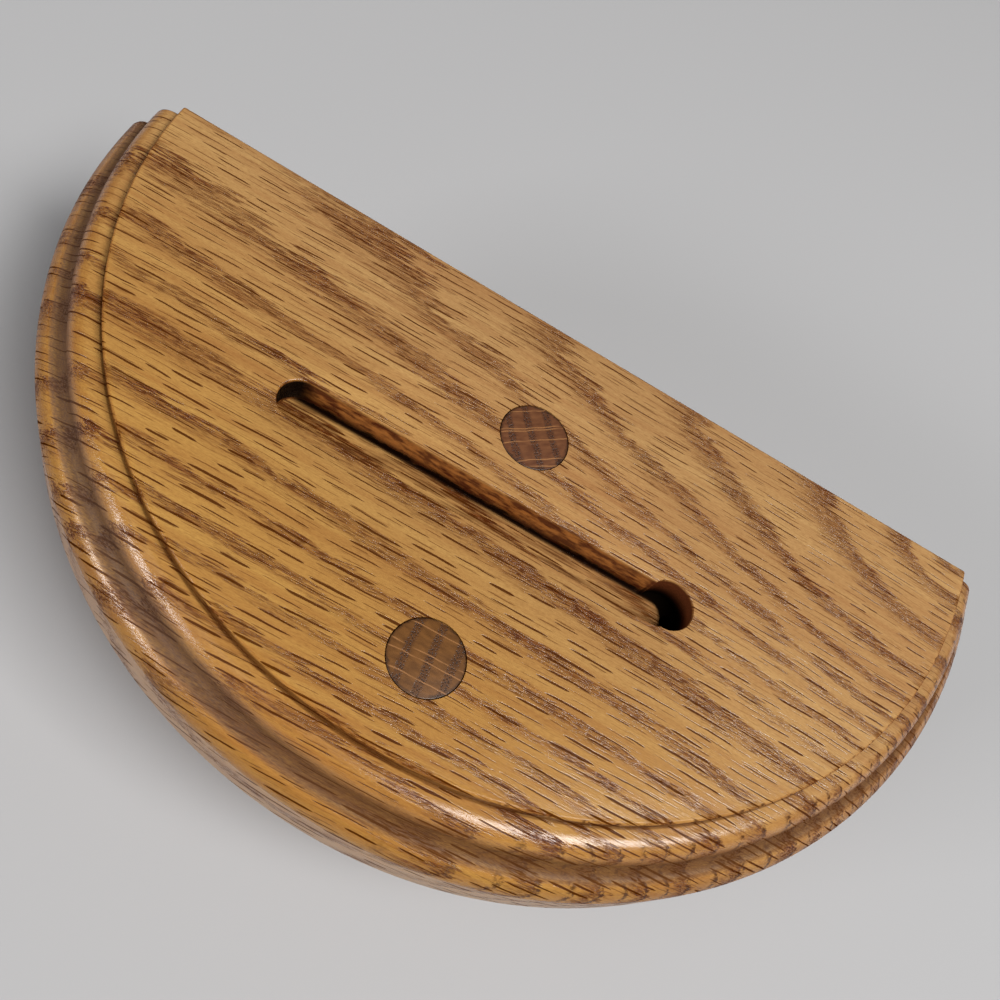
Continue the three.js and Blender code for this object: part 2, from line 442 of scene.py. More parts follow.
# %% [markdown]
# ## The stain on the moulding
# The foot of the step and the crease under the bead are dark lines of painted shade. The hollow is
# dull, and its colour is painted shade with a painted greyish sheen, lilac at the left. The upright
# side is painted a little grey, as painted reflection of the pale floor. The lip is a shade deeper
# than the top. Where the router cut across the rings, each ring ends in a thin broken line. The
# masks are rings round the middle of the back edge, cut off at a depth, so they follow the moulding
# exactly. Vertex paint would need a denser mesh.

# %% Stain the moulding
def distance(oak, middle):
    """How far a place is from an upright line through the board, in plan."""
    return ((oak.x - middle[0]) ** 2 + (oak.across - (back_edge - middle[1])) ** 2) ** 0.5


def stain_moulding(oak):
    from_middle, depth = distance(oak, (0, back_edge)), oak.depth
    cross_cut = oak.worked * oak.facing.rise(-0.1, 0.3) * oak.ahead
    ring_line = oak.ring.rise(0.0, 0.08) * oak.ring.rise(0.14, 0.34, 1.0, 0.0) * cross_cut
    vessels = noise(stretched(oak.place, 0.5, 0.5, 0.5), 1.0).rise(-0.16, 0.1)
    oak.paint(ring_line * vessels * 0.85, colour(66, 32, 12))

    upper = oak.ahead * depth.rise(12.0, 11.0)
    on_step = between(from_middle, step_radius - 0.2, step_radius + 0.25, 0.12)
    on_step = on_step * depth.rise(0.15, 0.8) * upper
    in_hollow = from_middle.rise(hollow_start - 1.2, hollow_start - 0.1)
    in_hollow = in_hollow * from_middle.rise(hollow_middle + 0.4, hollow_middle - 0.2)
    in_hollow = in_hollow * depth.rise(2.6, 4.2) * upper
    in_groove = from_middle.rise(hollow_start - 0.3, hollow_start + 0.2)
    in_groove = in_groove * from_middle.rise(hollow_middle - 0.1, hollow_middle - 0.9)
    in_groove = in_groove * depth.rise(4.0, 5.2) * upper
    on_lip = from_middle.rise(hollow_middle + 0.4, hollow_middle + 1) * depth.rise(11.2, 10.4)
    on_side = from_middle.rise(board_radius - 0.4, board_radius - 0.1) * depth.rise(10.4, 11.2)
    # Painted shade and a painted greyish sheen for the hollow: lilac-grey at the left, brown at the right.
    hollow_shade_and_sheen = blend(oak.x.rise(-30, 5), colour(100, 76, 62), colour(102, 64, 34))
    # Painted shade: a dark line in the corner at the foot of the step.
    oak.paint(on_step * 0.65, colour(72, 36, 14))
    oak.paint(in_hollow * (0.66 - oak.speck), hollow_shade_and_sheen)
    # Painted shade: a dark line in the crease between the bead and the hollow.
    oak.paint(in_groove * 0.4, colour(62, 38, 24))
    oak.paint(on_lip * 0.5, colour(216, 212, 178), "MULTIPLY")
    # Painted reflection: the upright side is greyed a little, as the pale floor would show in it.
    oak.paint(on_side * 0.18, colour(158, 134, 116))
    oak.rough = oak.rough + in_hollow * 0.3 + on_side * 0.1
    step_line = between(from_middle, step_radius - 0.7, step_radius + 0.3, 0.15) * upper
    oak.dry = oak.dry + step_line * 0.7 + in_hollow * 0.6 + on_lip * 0.4


print("the moulding's stain is ready")

# %% [markdown]
# ## The stain in the slot
# The cutter left the slot's walls rough, so they are blotched with stain, and painted shade makes
# them darker than the top. The corner at the foot of the rear wall is painted nearly black as
# shade, and the left end is painted nearly black as well. The drilled hole at the right darkens
# with depth to black as painted shade, and so does all that lies below the slot's floor. A small
# tongue of wood between slot and bore stays bright.

# %% Stain the slot
def stain_slot(oak):
    depth, slot_depth = oak.depth, top_face - slot_floor
    half_width, reach = slot_width / 2, 35
    sideways = oak.across - (back_edge - slot_middle[1])
    lengthways = size_of(oak.x - slot_middle[0]).rise(reach, reach - 0.6)
    in_slot = size_of(sideways).rise(half_width + 0.9, half_width + 0.6) * lengthways
    in_slot = in_slot * depth.rise(0.1, 0.6)
    blotch = noise(stretched(oak.place, 2.0, 0.6, 0.8), 3.0) * 4.5 + 0.45
    smear = noise(stretched(oak.along, 7, 0.4, 0.6), 2.0) * 4.0 + 0.45
    # Blotched stain on the rough walls, made darker by painted shade inside the slot.
    wall_stain_and_shade = blend(blotch, colour(86, 40, 20), colour(166, 102, 48))
    above_floor = depth.rise(slot_depth - 0.05, slot_depth - 0.4)
    on_floor = depth.rise(slot_depth - 0.4, slot_depth - 0.05)
    # The slot's left end is painted nearly black.
    left_end = oak.x.rise(-29.0, -32.2) * depth.rise(slot_depth - 0.05, slot_depth - 0.8)
    # Painted shade: the corner at the foot of the rear wall is painted nearly black.
    corner = sideways.rise(0.8 - half_width, 0.1 - half_width)
    corner = corner * (depth + blotch * 0.7).rise(slot_depth - 1.4, slot_depth - 0.1)
    oak.paint(in_slot * above_floor * 0.92, wall_stain_and_shade)
    oak.paint(in_slot * on_floor * smear * 0.7, colour(84, 46, 20))
    oak.paint(in_slot * left_end, colour(20, 11, 7))
    oak.paint(in_slot * corner, colour(26, 12, 6))

    tongue_middle = (22.2, 5.3)
    in_bore = distance(oak, bore_middle).rise(bore_radius + 0.5, bore_radius + 0.2)
    in_bore = in_bore * depth.rise(0.1, 0.6) * distance(oak, tongue_middle).rise(2.6, 3.2)
    # Painted shade: the drilled hole darkens with depth to black, except the bright tongue.
    oak.paint(in_bore, blend(depth.rise(1.2, 4.5), colour(90, 46, 24), colour(9, 5, 3)))
    # Painted shade: all that lies below the slot's floor is painted black.
    oak.paint(depth.rise(slot_depth + 0.1, slot_depth + 0.3) * in_slot, colour(8, 5, 3))
    oak.dry = oak.dry + in_slot * 0.8 + in_bore


print("the slot's stain is ready")

# %% [markdown]
# ## The varnish
# Satin varnish is the gloss of a Principled node, and its bump follows the grain's tiny grooves,
# which break up the streak of light on the bead. The node's coat would be the other way, but a coat
# needs a bump of its own for that. Where the varnish has sunk in, as in the pores, the rays, the slot
# and the hollow, the wood is bare and has no shine, and a shine would turn the dark marks grey. So
# a second Principled node without any reflection takes over there, by a Mix Shader.

# %% Varnish the wood and finish it
def varnish(oak, finish, shader):
    peel = noise(stretched(oak.place, 3.2, 2.2, 2.2), 1.0) * 0.02
    height = peel + oak.fine * 0.022 + oak.speck * (oak.worked * 0.022 + 0.016)
    height = height - oak.pores * 0.04 - oak.rays * 0.025 - oak.fine_rays * 0.012
    bump = height.node("ShaderNodeBump", {}, {"Height": height, "Distance": 0.001, "Strength": 0.9})
    join(shader, "Roughness", oak.rough)
    shader.inputs["IOR"].default_value = 1.55
    bare = finish.node_tree.nodes.new("ShaderNodeBsdfPrincipled")
    bare.inputs["Roughness"].default_value = 0.8
    bare.inputs["Specular IOR Level"].default_value = 0.0
    for surface in (shader, bare):
        join(surface, "Base Color", oak.tone)
        join(surface, "Normal", bump)
    both = {0: clear(oak.dry), 1: Wire(shader.outputs[0]), 2: Wire(bare.outputs[0])}
    mixed = oak.dry.node("ShaderNodeMixShader", {}, both)
    join(finish.node_tree.nodes["Material Output"], "Surface", mixed)


def oak_finish(name, lean, routed, painted_shade=0.0):
    """Stained and varnished oak. A routed piece has the moulding and the slot; painted_shade darkens it all
    over.
    """
    finish, shader, place = start_finish(name)
    oak = grain(place, lean)
    stain(oak)
    if routed:
        stain_moulding(oak)
        stain_slot(oak)
    # Painted shade: darkens the whole piece towards a brown.
    if painted_shade:
        oak.paint(painted_shade, colour(120, 78, 42))
    varnish(oak, finish, shader)
    return finish


board_oak = oak_finish("board_oak_golden", lean=0.75, routed=True)
# The foot block sits under the board, and painted shade darkens its copy of the oak all over.
foot_oak = oak_finish("foot_oak_golden", lean=-0.3, routed=False, painted_shade=0.25)
print("made", board_oak.name, "with", len(board_oak.node_tree.nodes), "nodes, and", foot_oak.name)

# %% [markdown]
# ## Plugs of end grain
# A plug cut from a dowel shows its end, where the years are rows of round pores and the rays are
# fine pale lines straight across them. It drinks more stain than the board, so it is a reddish
# brown. The two plugs were turned to different angles when they were glued in, which a Mapping node
# does here. Round pores are the one thing that Voronoi cells are right for.

# %% The plug finish
def plug_finish(name, centre, angle, year_width, first_year, low_tone, high_tone):
    finish, shader, place = start_finish(name)
    turned_place = {"Vector": place, "Location": (*centre, 0), "Rotation": (0, 0, math.radians(angle))}
    place = place.node("ShaderNodeMapping", {"vector_type": "TEXTURE"}, turned_place)
    x = place.node("ShaderNodeSeparateXYZ", {}, {0: place})
    y = x.out("Y")

    season = fraction((x + noise(stretched(place, 5, 5, 40)) * 1.2) / year_width + 20 + first_year)
    porous = season.rise(0.0, 0.12) * season.rise(0.32, 0.5, 1.0, 0.0)
    pore_place = {"Vector": stretched(place, 0.3, 0.3, 1), "Scale": 1.0}
    cell = place.node("ShaderNodeTexVoronoi", {"voronoi_dimensions": "2D"}, pore_place)
    own = cell.node("ShaderNodeSeparateColor", {}, {0: cell.out("Color")})
    pores = clear((0.22 + own * 0.2 - cell) / 0.15) * porous
    bend = y + noise(stretched(place, 5, 4, 40)) * 0.8
    ray_place = {"W": bend / 1.7 + first_year * 9, "Scale": 1.0}
    row = bend.node("ShaderNodeTexVoronoi", {"voronoi_dimensions": "1D"}, ray_place)
    ray = row.rise(0.06, 0.03) * noise(stretched(place, 3, 0.7, 40)).rise(-0.25, 0.0)
    blotch = noise(stretched(place, 1.8, 0.7, 20), 3.0)
    rim = ((x * x + y * y) ** 0.5 + blotch * 1.4).rise(4.5, 4.95)

    wood = blend(blotch * 1.8 + 0.5, colour(*low_tone), colour(*high_tone))
    wood = blend(porous * 0.5, wood, colour(66, 36, 20))
    wood = blend(pores * 0.85, wood, colour(34, 17, 9))
    wood = blend(ray * 0.6, wood, colour(176, 124, 76))
    wood = blend(rim * 0.75, wood, colour(40, 22, 12))
    height = blotch * 0.02 - pores * 0.04
    bump = height.node("ShaderNodeBump", {}, {"Height": height, "Distance": 0.001, "Strength": 0.7})
    join(shader, "Base Color", wood)
    join(shader, "Roughness", 0.36 + pores * 0.15)
    join(shader, "Normal", bump)
    shader.inputs["IOR"].default_value = 1.5
    return finish


rear_place, front_place = plug_places["rear"], plug_places["front"]
plug_rear_oak = plug_finish("plug_rear_oak", rear_place, 38, 2.9, 0.35, (88, 50, 30), (124, 80, 50))
plug_front_oak = plug_finish("plug_front_oak", front_place, 2, 3.0, 0.1, (90, 56, 24), (128, 84, 40))
print("made", plug_rear_oak.name, "and", plug_front_oak.name)

# %% [markdown]
# ## Zinc and felt
# The screws and the pads are hidden in the photograph, but not in a view from below or with the
# board lifted off. Zinc plate is a dull, slightly mottled metal. Felt is a mat of short dark hairs,
# which a very fine noise in colour and bump gives, with the sheen that cloth has at its edges. Real
# hairs would be thousands of curves for a disc that is hardly seen.

# %% The zinc and the felt finish
def zinc_finish():
    finish, shader, place = start_finish("zinc_plate")
    cloud = noise(stretched(place, 1.5, 1.5, 2.5), 3.0)
    join(shader, "Base Color", blend(cloud * 1.5 + 0.5, (0.5, 0.5, 0.49, 1), (0.66, 0.66, 0.63, 1)))
    join(shader, "Roughness", 0.36 + cloud * 0.2)
    shader.inputs["Metallic"].default_value = 1.0
    return finish


def felt_finish():
    finish, shader, place = start_finish("dark_felt")
    hairs = noise(stretched(place, 0.25, 0.25, 0.12), 4.0)
    clumps = noise(stretched(place, 2.0, 2.0, 1.0), 2.0)
    join(shader, "Base Color", blend(hairs * 1.4 + clumps + 0.5, colour(44, 38, 32), colour(76, 68, 60)))
    height = hairs * 0.14
    join(shader, "Normal", height.node("ShaderNodeBump", {}, {"Height": height, "Distance": 0.001}))
    shader.inputs["Roughness"].default_value = 0.95
    shader.inputs["Sheen Weight"].default_value = 0.3
    return finish


zinc, felt = zinc_finish(), felt_finish()
print("made", zinc.name, "and", felt.name)

# %% [markdown]
# ## Building node trees in a script
# The same few lines add any Geometry Nodes node: make it, set it, and give each input a value or a
# link. The two helpers below do that, one by the names of the inputs, and one for sums, whose two
# inputs share one name.

# %% Helpers for a node tree
def tree_with(name, sockets):
    """An empty tree with geometry in and out, and one named input for each size."""
    tree = bpy.data.node_groups.new(name, "GeometryNodeTree")
    tree.interface.new_socket("Geometry", in_out="INPUT", socket_type="NodeSocketGeometry")
    for label, kind, value in sockets:
        made = tree.interface.new_socket(label, in_out="INPUT", socket_type="NodeSocket" + kind)
        if value is not None:
            made.default_value = value
    tree.interface.new_socket("Geometry", in_out="OUTPUT", socket_type="NodeSocketGeometry")
    return tree


def feed(tree, place, value):
    if isinstance(value, bpy.types.NodeSocket):
        tree.links.new(value, place)
    else:
        place.default_value = value


def step(tree, kind, settings=None, **inputs):
    """Adds one node. An input is named in lower case with _ for a space."""
    made = tree.nodes.new(kind)
    for name, value in (settings or {}).items():
        setattr(made, name, value)
    for name, value in inputs.items():
        fits = [i for i in made.inputs if i.enabled and i.name.lower().replace(" ", "_") == name]
        feed(tree, fits[0], value)
    return made.outputs[0]


def tree_sum(tree, kind, operation, first, second):
    """Adds a Math or Vector Math node with two inputs."""
    made = tree.nodes.new(kind)
    made.operation = operation
    feed(tree, made.inputs[0], first)
    feed(tree, made.inputs[1], second)
    return made.outputs[0]


print("node tree helpers are ready")

# %% [markdown]
# ## A lathe made of nodes
# Nearly every piece here is turned: the moulded board is a disc cut in half, the foot block is
# another, and plugs, pads, holes and screws are plain turnings. One Geometry Nodes tree does them
# all. It takes a half section drawn as a curve, sweeps it round a circle, joins the seam and, where
# asked, saws the disc along its back. Spin in bmesh would do the sweep too, but the tree keeps the
# sizes as named inputs that can be changed afterwards. The section is drawn from the axis outwards,
# so it first moves back by the circle's radius. A turn of a third of a degree keeps the corners of
# the sweep off the saw line, where a Boolean is least sure.

# %% Build the lathe
path_radius = 0.03
saw_size = (0.3, 0.2, 0.2)
seam_turn = math.radians(0.37)
lathe_sizes = (
    ("Segments", "Int", 64),
    ("Centre", "Vector", (0, 0, 0)),
    ("Saw In Half", "Bool", False),
    ("Saw Line", "Float", 0.0),
    ("Finish", "Material", None),
)
lathe = tree_with("lathe", lathe_sizes)
given = lathe.nodes.new("NodeGroupInput").outputs
section = step(
    lathe,
    "GeometryNodeTransform",
    geometry=given["Geometry"],
    translation=(-path_radius, 0, 0),
    scale=(1, -1, 1),
)
circle = step(lathe, "GeometryNodeCurvePrimitiveCircle", resolution=given["Segments"], radius=path_radius)
swept = step(lathe, "GeometryNodeCurveToMesh", curve=circle, profile_curve=section)
swept = step(lathe, "GeometryNodeMergeByDistance", geometry=swept, distance=2e-6)
swept = step(
    lathe,
    "GeometryNodeTransform",
    geometry=swept,
    translation=given["Centre"],
    rotation=(0, 0, seam_turn),
)
print("the lathe turns a section, with", len(lathe.nodes), "nodes so far")

# %% [markdown]
# ## The saw
# The saw is a block whose near side lies on the saw line, and a Mesh Boolean takes away what it
# covers. The edges that the saw leaves are marked for a bevel by writing the attribute that the
# Bevel modifier reads, which saves finding them again afterwards.

# %% Add the saw and close the tree
waste_middle = tree_sum(lathe, "ShaderNodeMath", "ADD", given["Saw Line"], saw_size[1] / 2)
waste = step(
    lathe,
    "GeometryNodeTransform",
    geometry=step(lathe, "GeometryNodeMeshCube", size=saw_size),
    translation=step(lathe, "ShaderNodeCombineXYZ", y=waste_middle, z=0.05),
)
saw = {"operation": "DIFFERENCE", "solver": "EXACT"}
sawn = step(lathe, "GeometryNodeMeshBoolean", saw, mesh_1=swept, mesh_2=waste)
at = step(lathe, "ShaderNodeSeparateXYZ", vector=step(lathe, "GeometryNodeInputPosition"))
past_saw = tree_sum(lathe, "ShaderNodeMath", "SUBTRACT", at.node.outputs["Y"], given["Saw Line"])
on_back = step(lathe, "FunctionNodeCompare", {"operation": "GREATER_THAN"}, a=past_saw, b=-1e-5)
marked = step(
    lathe,
    "GeometryNodeStoreNamedAttribute",
    {"data_type": "FLOAT", "domain": "EDGE"},
    geometry=sawn,
    selection=on_back,
    name="bevel_weight_edge",
    value=1.0,
)
chosen = step(
    lathe,
    "GeometryNodeSwitch",
    {"input_type": "GEOMETRY"},
    switch=given["Saw In Half"],
    false=swept,
    true=marked,
)
turning = step(lathe, "GeometryNodeRealizeInstances", geometry=chosen)
turning = step(lathe, "GeometryNodeSetMaterial", geometry=turning, material=given["Finish"])
lathe.links.new(turning, lathe.nodes.new("NodeGroupOutput").inputs[0])
print("the lathe has", len(lathe.nodes), "nodes")

# %% [markdown]
# ## From a drawn section to a mesh
# `turned` draws the half section, runs a lathe on it and keeps the result as a plain mesh, which is
# what the export can use. `ease_arris` is the touch of sandpaper on the sawn back's edges. `arc`
# gives the round stretches of a section, so that no section is a long list of points.

# %% Use the lathe
def arc(centre, radii, start, end, steps):
    """Points on a part of an ellipse, from one angle to another, in degrees."""
    angles = [math.radians(start + (end - start) * n / steps) for n in range(steps + 1)]
    return [(centre[0] + radii[0] * math.cos(a), centre[1] + radii[1] * math.sin(a)) for a in angles]


def set_input(modifier, label, value):
    """Sets a named input of a node tree by the socket's identifier."""
    sockets = modifier.node_group.interface.items_tree
    modifier[next(s.identifier for s in sockets if s.name == label)] = value


def as_mesh(holder, name):
    """The evaluated object as a plain mesh object with its faces outwards."""
    graph = bpy.context.evaluated_depsgraph_get()
    mesh = bpy.data.meshes.new_from_object(holder.evaluated_get(graph), depsgraph=graph)
    work = bmesh.new()
    work.from_mesh(mesh)
    bmesh.ops.recalc_face_normals(work, faces=work.faces)
    if work.calc_volume(signed=True) < 0:
        bmesh.ops.reverse_faces(work, faces=work.faces)
    work.to_mesh(mesh)
    work.free()
    bpy.data.objects.remove(holder)
    mesh.name = name
    piece = bpy.data.objects.new(name, mesh)
    bpy.context.scene.collection.objects.link(piece)
    return piece


def turned(name, points, centre, segments, finish, base=0.0, saw_line=None, ease=0.0, tree=lathe):
    """Turns a half section of (radius, height) points, in millimetres."""
    drawing = bpy.data.curves.new(name, "CURVE")
    drawing.dimensions = "3D"
    line = drawing.splines.new("POLY")
    line.points.add(len(points) - 1)
    for dot, (radius, height) in zip(line.points, points):
        dot.co = (radius / 1000, (height + base) / 1000, 0, 1)
    holder = bpy.data.objects.new(name + "_drawing", drawing)
    bpy.context.scene.collection.objects.link(holder)
    modifier = holder.modifiers.new("lathe", "NODES")
    modifier.node_group = tree
    set_input(modifier, "Segments", segments)
    set_input(modifier, "Centre", (centre[0] / 1000, centre[1] / 1000, 0.0))
    set_input(modifier, "Finish", finish)
    if saw_line is not None:
        set_input(modifier, "Saw In Half", True)
        set_input(modifier, "Saw Line", saw_line / 1000)
    piece = as_mesh(holder, name)
    if ease:
        bevel = piece.modifiers.new("ease_arris", "BEVEL")
        bevel.limit_method, bevel.width, bevel.segments = "WEIGHT", ease / 1000, 3
        bevel.use_clamp_overlap = False
        piece = as_mesh(piece, name)
    return piece


def measure(piece):
    corners = [Vector(c) for c in piece.bound_box]
    low = [round(1000 * min(c[i] for c in corners), 2) for i in range(3)]
    high = [round(1000 * max(c[i] for c in corners), 2) for i in range(3)]
    print(piece.name, low, high, len(piece.data.polygons), "faces")


print("turned is ready")

# %% [markdown]
# ## The moulded board
# The router bit left five shapes one under another: a small upright step, a narrow ledge, a round
# bead, a hollow, and a lip whose round nose runs into the upright edge. They are drawn once, as
# arcs, from the bottom up, and the lathe takes them round the board. A Bevel modifier can carry a
# profile too, but its curves are shares of its width, and these are sizes.

# %% Draw the moulding and turn the board
bottom_ease = 0.5
nose_radius, nose_height = 4.0, 8.35
bead_radius, bead_height = 3, 14
bead_middle = hollow_start - bead_radius
top_round = 0.4

moulding = [(0, 0), (board_radius - bottom_ease, 0)]
moulding += arc((board_radius - bottom_ease, bottom_ease), (bottom_ease, bottom_ease), -70, 0, 3)
nose = (nose_radius - 0.01, nose_radius)
moulding += arc((board_radius - nose_radius, nose_height), nose, 0, 63.3, 16)
moulding += arc((hollow_middle, bead_height), (hollow_width, hollow_depth), 261, 180, 14)
moulding += arc((bead_middle, bead_height), (bead_radius, bead_radius), 0, 90, 16)[1:]
moulding += [(step_radius, bead_height + bead_radius), (step_radius, board_thickness - top_round)]
rim_middle = (step_radius - top_round, board_thickness - top_round)
moulding += arc(rim_middle, (top_round, top_round), 20, 90, 4)
moulding += [(0, board_thickness)]
board = turned("board", moulding, (0, back_edge), 400, board_oak, board_bottom, back_edge, 0.35)
measure(board)

# %% [markdown]
# ## The slot and the holes
# A slot cutter follows the back edge, and the right-hand end is opened out by a bigger drill with a
# small starter hole at its right. A Boolean modifier subtracts each cutter. The cutters flare a
# little at the top, which leaves the sanded rim that a plain cylinder wouldn't.

# %% Make the cutters
rim = 0.25


def slot_cutter(name, centre, length, width, floor, top):
    """A long hole with round ends and a softened rim."""
    levels = [(floor, 0.0), (top - rim, 0.0)]
    levels += [(top - rim + rim * math.sin(a), rim * (1 - math.cos(a))) for a in (0.52, 1.05, 1.57)]
    levels += [(top + 1, rim * 1.5)]
    reach = (length - width) / 2
    work = bmesh.new()
    rings = []
    for height, more in levels:
        radii = (width / 2 + more, width / 2 + more)
        outline = arc((centre[0] + reach, centre[1]), radii, -90, 90, 24)
        outline += arc((centre[0] - reach, centre[1]), radii, 90, 270, 24)
        rings.append([work.verts.new((a / 1000, b / 1000, height / 1000)) for a, b in outline])
    for low, high in zip(rings, rings[1:]):
        for n in range(len(low)):
            m = (n + 1) % len(low)
            work.faces.new((low[n], low[m], high[m], high[n]))
    work.faces.new(rings[0][::-1])
    work.faces.new(rings[-1])
    mesh = bpy.data.meshes.new(name)
    work.to_mesh(mesh)
    work.free()
    cutter = bpy.data.objects.new(name, mesh)
    bpy.context.scene.collection.objects.link(cutter)
    return cutter


def drill(name, centre, sections):
    """A drill with a stepped outline, from the bottom up."""
    points = [(0, sections[0][1])] + list(sections) + [(0, sections[-1][1])]
    return turned(name, points, centre, 64, board_oak)


def cut(piece, cutters):
    for cutter in cutters:
        modifier = piece.modifiers.new(cutter.name, "BOOLEAN")
        modifier.operation, modifier.solver, modifier.object = "DIFFERENCE", "EXACT", cutter
    result = as_mesh(piece, piece.name)
    for cutter in cutters:
        bpy.data.objects.remove(cutter)
    return result


print("the cutters leave a rim of", rim, "mm")

# %% Cut the board
flare = ((0.03, -0.12), (0.1, -0.03), (0.28, 0), (0.3, 1))
bore_outline = [(bore_radius, slot_floor), (bore_radius, top_face - rim)]
bore_outline += [(bore_radius + out, top_face + up) for out, up in flare]
starter_outline = [(starter_radius, starter_floor), (starter_radius, slot_floor + 0.5)]
shank_hole, countersink, plug_hole = 2.4, 4.3, 5.05
screw_seat, plug_seat = 31.4, 33.4
plug_outline = [(shank_hole, board_bottom - 1.7), (shank_hole, screw_seat), (countersink, plug_seat)]
plug_outline += [(plug_hole, plug_seat), (plug_hole, top_face - 0.1), (plug_hole + 0.1, top_face + 1)]
cutters = [
    slot_cutter("slot", slot_middle, slot_length, slot_width, slot_floor, top_face),
    drill("end_bore", bore_middle, bore_outline),
    drill("starter_hole", starter_middle, starter_outline),
]
cutters += [drill("plug_hole_" + label, place, plug_outline) for label, place in plug_places.items()]
board = cut(board, cutters)
measure(board)

# %% [markdown]
# ## Smooth, with crisp edges
# A facet shows at once on a varnished curve, so every face is shaded smooth. Edges sharper than 32
# degrees stay crisp, which keeps the moulding's corners and the rim of the slot. Shade Smooth alone
# would blur those too. The cutters bring their own copy of the finish along, so the board's list of
# materials is emptied and filled again.

# %% Shade the board and hand it over
def smooth(piece, sharp=32):
    piece.data.set_sharp_from_angle(angle=math.radians(sharp))
    piece.data.update()


def one_finish(piece, finish):
    """Leaves one material on every face."""
    piece.data.materials.clear()
    piece.data.materials.append(finish)
    for face in piece.data.polygons:
        face.material_index = 0


one_finish(board, board_oak)
smooth(board)
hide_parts("top_board")
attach(board, "root")
print("crisp edges on the board:", sum(e.use_edge_sharp for e in board.data.edges))

# %% [markdown]
# ## Plugs
# Each plug is planed flush with the top. Its edge has the slightest rounding, and a hair of dark
# glue line is left round it, so the plug is 0.2 mm smaller than its hole.

# %% Turn the plugs
plug_radius, plug_bottom, plug_side_top, plug_top = 4.95, 34.0, 40.55, 40.68
plug_chamfer, plug_round = 0.5, 0.12
plug_section = [(0, plug_bottom), (plug_radius - plug_chamfer, plug_bottom)]
plug_section += [(plug_radius, plug_bottom + plug_chamfer), (plug_radius, plug_side_top)]
round_middle = (plug_radius - plug_round, plug_top - plug_round)
plug_section += arc(round_middle, (plug_round, plug_round), 20, 90, 3) + [(0, plug_top)]
for label, finish in (("rear", plug_rear_oak), ("front", plug_front_oak)):
    plug = turned("plug_face_" + label, plug_section, plug_places[label], 64, finish)
    smooth(plug)
    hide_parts("plug_" + label)
    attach(plug, "root")
    measure(plug)

# %% [markdown]
# ## The foot block
# The board can't stand on its mounting screws, so a smaller half round of the same oak carries it,
# set back under the edge where it doesn't show. It is turned and sawn as the board was.

# %% Turn the foot block
foot_bottom, foot_back, foot_height = 2.6, 34.5, 19
foot_radius, foot_ease = 60, 2
pilot_radius, pilot_bottom, pilot_top = 2.35, 7.5, 23
pilot_hole = [(pilot_radius, pilot_bottom), (pilot_radius, pilot_top)]
inner = foot_radius - foot_ease
foot_section = [(0, 0), (inner, 0)] + arc((inner, foot_ease), (foot_ease, foot_ease), -80, 0, 6)
foot_section += arc((inner, foot_height - foot_ease), (foot_ease, foot_ease), 0, 80, 6)
foot_section += [(inner, foot_height), (0, foot_height)]
foot = turned("foot", foot_section, (0, foot_back), 240, foot_oak, foot_bottom, foot_back, 0.6)
foot = cut(foot, [drill("pilot_" + label, place, pilot_hole) for label, place in plug_places.items()])
one_finish(foot, foot_oak)
smooth(foot)
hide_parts("foot_block")
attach(foot, "root")
measure(foot)

# %% [markdown]
# ## Screws with a real thread
# A wood screw's thread is a ridge wound round a core that tapers to a point. Its turns follow a
# helix, so a second tree adds a Spiral swept with a three-cornered section to what the lathe makes,
# and a curve over its length shrinks the ridge to about a tenth of its size at both ends. A Screw
# modifier would wind it as well, but not fade it out.

# %% Build the thread tree
thread_sizes = (
    ("Segments", "Int", 32),
    ("Centre", "Vector", (0, 0, 0)),
    ("Thread Start", "Float", 0.0093),
    ("Thread Height", "Float", 0.013),
    ("Thread Turns", "Float", 8.0),
    ("Core Radius", "Float", 0.0015),
    ("Finish", "Material", None),
)
ridge_radius = 0.0006
threaded = tree_with("threaded_lathe", thread_sizes)
given = threaded.nodes.new("NodeGroupInput").outputs
core = threaded.nodes.new("GeometryNodeGroup")
core.node_tree = lathe
for label in ("Geometry", "Segments", "Centre", "Finish"):
    threaded.links.new(given[label], core.inputs[label])
helix = step(
    threaded,
    "GeometryNodeCurveSpiral",
    resolution=24,
    rotations=given["Thread Turns"],
    start_radius=given["Core Radius"],
    end_radius=given["Core Radius"],
    height=given["Thread Height"],
)
helix = step(threaded, "GeometryNodeSetCurveNormal", {"mode": "Z_UP"}, curve=helix)
swell = step(threaded, "ShaderNodeFloatCurve", value=step(threaded, "GeometryNodeSplineParameter"))
fade = swell.node.mapping.curves[0]
fade.points[0].location, fade.points[1].location = (0, 0.15), (1, 0.1)
fade.points.new(0.12, 0.95)
fade.points.new(0.93, 1.0)
swell.node.mapping.update()
print("the helix is drawn, with", len(threaded.nodes), "nodes so far")

# %% Wind the ridge round the core
ridge = step(threaded, "GeometryNodeCurvePrimitiveCircle", resolution=3, radius=ridge_radius)
ridge = step(
    threaded,
    "GeometryNodeCurveToMesh",
    curve=helix,
    profile_curve=ridge,
    scale=swell,
    fill_caps=True,
)
start = step(threaded, "ShaderNodeCombineXYZ", z=given["Thread Start"])
start = tree_sum(threaded, "ShaderNodeVectorMath", "ADD", start, given["Centre"])
ridge = step(threaded, "GeometryNodeTransform", geometry=ridge, translation=start)
ridge = step(threaded, "GeometryNodeSetMaterial", geometry=ridge, material=given["Finish"])
both = threaded.nodes.new("GeometryNodeJoinGeometry")
for made in (core.outputs[0], ridge):
    threaded.links.new(made, both.inputs[0])
screw_body = step(threaded, "GeometryNodeRealizeInstances", geometry=both.outputs[0])
threaded.links.new(screw_body, threaded.nodes.new("NodeGroupOutput").inputs[0])
print("the thread tree has", len(threaded.nodes), "nodes")

